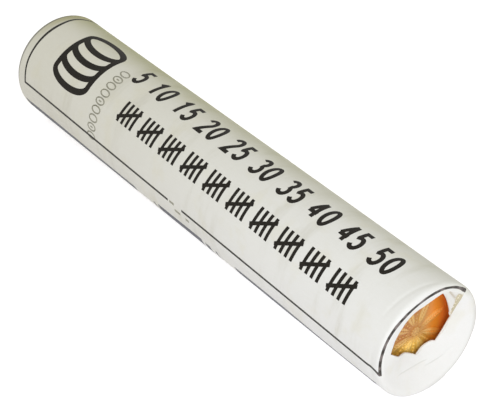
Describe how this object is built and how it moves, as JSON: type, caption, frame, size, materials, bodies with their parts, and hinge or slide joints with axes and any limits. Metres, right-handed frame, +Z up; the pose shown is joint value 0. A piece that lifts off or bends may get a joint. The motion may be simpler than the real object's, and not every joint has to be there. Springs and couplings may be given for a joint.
{
  "type": "coin roll",
  "caption": "Sealed roll of small copper-coloured coins in a wound paper wrapper, lying on its side, with rolled-in crimped ends and the end coin showing.",
  "frame": {"origin": "on the surface that the roll lies on, under the middle of its length", "axes": "+X along the roll towards its wider opening, +Z up"},
  "size_m": [0.089, 0.0168, 0.0168],
  "materials": {
    "paper": "matte uncoated paper with black print",
    "coin": "struck, copper-covered steel, slightly toned"
  },
  "bodies": {
    "wrapper": {"paper_wrapper": "paper"},
    "coin_01": {"coin_01": "coin"},
    "coin_02": {"coin_02": "coin"},
    "coin_03": {"coin_03": "coin"},
    "coin_04": {"coin_04": "coin"},
    "coin_05": {"coin_05": "coin"},
    "coin_06": {"coin_06": "coin"},
    "coin_07": {"coin_07": "coin"},
    "coin_08": {"coin_08": "coin"},
    "coin_09": {"coin_09": "coin"},
    "coin_10": {"coin_10": "coin"},
    "coin_11": {"coin_11": "coin"},
    "coin_12": {"coin_12": "coin"},
    "coin_13": {"coin_13": "coin"},
    "coin_14": {"coin_14": "coin"},
    "coin_15": {"coin_15": "coin"},
    "coin_16": {"coin_16": "coin"},
    "coin_17": {"coin_17": "coin"},
    "coin_18": {"coin_18": "coin"},
    "coin_19": {"coin_19": "coin"},
    "coin_20": {"coin_20": "coin"},
    "coin_21": {"coin_21": "coin"},
    "coin_22": {"coin_22": "coin"},
    "coin_23": {"coin_23": "coin"},
    "coin_24": {"coin_24": "coin"},
    "coin_25": {"coin_25": "coin"},
    "coin_26": {"coin_26": "coin"},
    "coin_27": {"coin_27": "coin"},
    "coin_28": {"coin_28": "coin"},
    "coin_29": {"coin_29": "coin"},
    "coin_30": {"coin_30": "coin"},
    "coin_31": {"coin_31": "coin"},
    "coin_32": {"coin_32": "coin"},
    "coin_33": {"coin_33": "coin"},
    "coin_34": {"coin_34": "coin"},
    "coin_35": {"coin_35": "coin"},
    "coin_36": {"coin_36": "coin"},
    "coin_37": {"coin_37": "coin"},
    "coin_38": {"coin_38": "coin"},
    "coin_39": {"coin_39": "coin"},
    "coin_40": {"coin_40": "coin"},
    "coin_41": {"coin_41": "coin"},
    "coin_42": {"coin_42": "coin"},
    "coin_43": {"coin_43": "coin"},
    "coin_44": {"coin_44": "coin"},
    "coin_45": {"coin_45": "coin"},
    "coin_46": {"coin_46": "coin"},
    "coin_47": {"coin_47": "coin"},
    "coin_48": {"coin_48": "coin"},
    "coin_49": {"coin_49": "coin"},
    "coin_50": {"coin_50": "coin"}
  },
  "joints": [
    {"name": "axial_play", "type": "slide", "parent": "wrapper", "child": "coin_50", "axis": [1, 0, 0], "range_m": [0, 0.0004]},
    {"name": "coin_01_spin", "type": "hinge", "parent": "coin_50", "child": "coin_01", "pos_m": [0, 0, 0.00834], "axis": [1, 0, 0], "continuous": true},
    {"name": "coin_02_spin", "type": "hinge", "parent": "coin_50", "child": "coin_02", "pos_m": [0, 0, 0.00834], "axis": [1, 0, 0], "continuous": true},
    {"name": "coin_03_spin", "type": "hinge", "parent": "coin_50", "child": "coin_03", "pos_m": [0, 0, 0.00834], "axis": [1, 0, 0], "continuous": true},
    {"name": "coin_04_spin", "type": "hinge", "parent": "coin_50", "child": "coin_04", "pos_m": [0, 0, 0.00834], "axis": [1, 0, 0], "continuous": true},
    {"name": "coin_05_spin", "type": "hinge", "parent": "coin_50", "child": "coin_05", "pos_m": [0, 0, 0.00834], "axis": [1, 0, 0], "continuous": true},
    {"name": "coin_06_spin", "type": "hinge", "parent": "coin_50", "child": "coin_06", "pos_m": [0, 0, 0.00834], "axis": [1, 0, 0], "continuous": true},
    {"name": "coin_07_spin", "type": "hinge", "parent": "coin_50", "child": "coin_07", "pos_m": [0, 0, 0.00834], "axis": [1, 0, 0], "continuous": true},
    {"name": "coin_08_spin", "type": "hinge", "parent": "coin_50", "child": "coin_08", "pos_m": [0, 0, 0.00834], "axis": [1, 0, 0], "continuous": true},
    {"name": "coin_09_spin", "type": "hinge", "parent": "coin_50", "child": "coin_09", "pos_m": [0, 0, 0.00834], "axis": [1, 0, 0], "continuous": true},
    {"name": "coin_10_spin", "type": "hinge", "parent": "coin_50", "child": "coin_10", "pos_m": [0, 0, 0.00834], "axis": [1, 0, 0], "continuous": true},
    {"name": "coin_11_spin", "type": "hinge", "parent": "coin_50", "child": "coin_11", "pos_m": [0, 0, 0.00834], "axis": [1, 0, 0], "continuous": true},
    {"name": "coin_12_spin", "type": "hinge", "parent": "coin_50", "child": "coin_12", "pos_m": [0, 0, 0.00834], "axis": [1, 0, 0], "continuous": true},
    {"name": "coin_13_spin", "type": "hinge", "parent": "coin_50", "child": "coin_13", "pos_m": [0, 0, 0.00834], "axis": [1, 0, 0], "continuous": true},
    {"name": "coin_14_spin", "type": "hinge", "parent": "coin_50", "child": "coin_14", "pos_m": [0, 0, 0.00834], "axis": [1, 0, 0], "continuous": true},
    {"name": "coin_15_spin", "type": "hinge", "parent": "coin_50", "child": "coin_15", "pos_m": [0, 0, 0.00834], "axis": [1, 0, 0], "continuous": true},
    {"name": "coin_16_spin", "type": "hinge", "parent": "coin_50", "child": "coin_16", "pos_m": [0, 0, 0.00834], "axis": [1, 0, 0], "continuous": true},
    {"name": "coin_17_spin", "type": "hinge", "parent": "coin_50", "child": "coin_17", "pos_m": [0, 0, 0.00834], "axis": [1, 0, 0], "continuous": true},
    {"name": "coin_18_spin", "type": "hinge", "parent": "coin_50", "child": "coin_18", "pos_m": [0, 0, 0.00834], "axis": [1, 0, 0], "continuous": true},
    {"name": "coin_19_spin", "type": "hinge", "parent": "coin_50", "child": "coin_19", "pos_m": [0, 0, 0.00834], "axis": [1, 0, 0], "continuous": true},
    {"name": "coin_20_spin", "type": "hinge", "parent": "coin_50", "child": "coin_20", "pos_m": [0, 0, 0.00834], "axis": [1, 0, 0], "continuous": true},
    {"name": "coin_21_spin", "type": "hinge", "parent": "coin_50", "child": "coin_21", "pos_m": [0, 0, 0.00834], "axis": [1, 0, 0], "continuous": true},
    {"name": "coin_22_spin", "type": "hinge", "parent": "coin_50", "child": "coin_22", "pos_m": [0, 0, 0.00834], "axis": [1, 0, 0], "continuous": true},
    {"name": "coin_23_spin", "type": "hinge", "parent": "coin_50", "child": "coin_23", "pos_m": [0, 0, 0.00834], "axis": [1, 0, 0], "continuous": true},
    {"name": "coin_24_spin", "type": "hinge", "parent": "coin_50", "child": "coin_24", "pos_m": [0, 0, 0.00834], "axis": [1, 0, 0], "continuous": true},
    {"name": "coin_25_spin", "type": "hinge", "parent": "coin_50", "child": "coin_25", "pos_m": [0, 0, 0.00834], "axis": [1, 0, 0], "continuous": true},
    {"name": "coin_26_spin", "type": "hinge", "parent": "coin_50", "child": "coin_26", "pos_m": [0, 0, 0.00834], "axis": [1, 0, 0], "continuous": true},
    {"name": "coin_27_spin", "type": "hinge", "parent": "coin_50", "child": "coin_27", "pos_m": [0, 0, 0.00834], "axis": [1, 0, 0], "continuous": true},
    {"name": "coin_28_spin", "type": "hinge", "parent": "coin_50", "child": "coin_28", "pos_m": [0, 0, 0.00834], "axis": [1, 0, 0], "continuous": true},
    {"name": "coin_29_spin", "type": "hinge", "parent": "coin_50", "child": "coin_29", "pos_m": [0, 0, 0.00834], "axis": [1, 0, 0], "continuous": true},
    {"name": "coin_30_spin", "type": "hinge", "parent": "coin_50", "child": "coin_30", "pos_m": [0, 0, 0.00834], "axis": [1, 0, 0], "continuous": true},
    {"name": "coin_31_spin", "type": "hinge", "parent": "coin_50", "child": "coin_31", "pos_m": [0, 0, 0.00834], "axis": [1, 0, 0], "continuous": true},
    {"name": "coin_32_spin", "type": "hinge", "parent": "coin_50", "child": "coin_32", "pos_m": [0, 0, 0.00834], "axis": [1, 0, 0], "continuous": true},
    {"name": "coin_33_spin", "type": "hinge", "parent": "coin_50", "child": "coin_33", "pos_m": [0, 0, 0.00834], "axis": [1, 0, 0], "continuous": true},
    {"name": "coin_34_spin", "type": "hinge", "parent": "coin_50", "child": "coin_34", "pos_m": [0, 0, 0.00834], "axis": [1, 0, 0], "continuous": true},
    {"name": "coin_35_spin", "type": "hinge", "parent": "coin_50", "child": "coin_35", "pos_m": [0, 0, 0.00834], "axis": [1, 0, 0], "continuous": true},
    {"name": "coin_36_spin", "type": "hinge", "parent": "coin_50", "child": "coin_36", "pos_m": [0, 0, 0.00834], "axis": [1, 0, 0], "continuous": true},
    {"name": "coin_37_spin", "type": "hinge", "parent": "coin_50", "child": "coin_37", "pos_m": [0, 0, 0.00834], "axis": [1, 0, 0], "continuous": true},
    {"name": "coin_38_spin", "type": "hinge", "parent": "coin_50", "child": "coin_38", "pos_m": [0, 0, 0.00834], "axis": [1, 0, 0], "continuous": true},
    {"name": "coin_39_spin", "type": "hinge", "parent": "coin_50", "child": "coin_39", "pos_m": [0, 0, 0.00834], "axis": [1, 0, 0], "continuous": true},
    {"name": "coin_40_spin", "type": "hinge", "parent": "coin_50", "child": "coin_40", "pos_m": [0, 0, 0.00834], "axis": [1, 0, 0], "continuous": true},
    {"name": "coin_41_spin", "type": "hinge", "parent": "coin_50", "child": "coin_41", "pos_m": [0, 0, 0.00834], "axis": [1, 0, 0], "continuous": true},
    {"name": "coin_42_spin", "type": "hinge", "parent": "coin_50", "child": "coin_42", "pos_m": [0, 0, 0.00834], "axis": [1, 0, 0], "continuous": true},
    {"name": "coin_43_spin", "type": "hinge", "parent": "coin_50", "child": "coin_43", "pos_m": [0, 0, 0.00834], "axis": [1, 0, 0], "continuous": true},
    {"name": "coin_44_spin", "type": "hinge", "parent": "coin_50", "child": "coin_44", "pos_m": [0, 0, 0.00834], "axis": [1, 0, 0], "continuous": true},
    {"name": "coin_45_spin", "type": "hinge", "parent": "coin_50", "child": "coin_45", "pos_m": [0, 0, 0.00834], "axis": [1, 0, 0], "continuous": true},
    {"name": "coin_46_spin", "type": "hinge", "parent": "coin_50", "child": "coin_46", "pos_m": [0, 0, 0.00834], "axis": [1, 0, 0], "continuous": true},
    {"name": "coin_47_spin", "type": "hinge", "parent": "coin_50", "child": "coin_47", "pos_m": [0, 0, 0.00834], "axis": [1, 0, 0], "continuous": true},
    {"name": "coin_48_spin", "type": "hinge", "parent": "coin_50", "child": "coin_48", "pos_m": [0, 0, 0.00834], "axis": [1, 0, 0], "continuous": true},
    {"name": "coin_49_spin", "type": "hinge", "parent": "coin_50", "child": "coin_49", "pos_m": [0, 0, 0.00834], "axis": [1, 0, 0], "continuous": true}
  ]
}
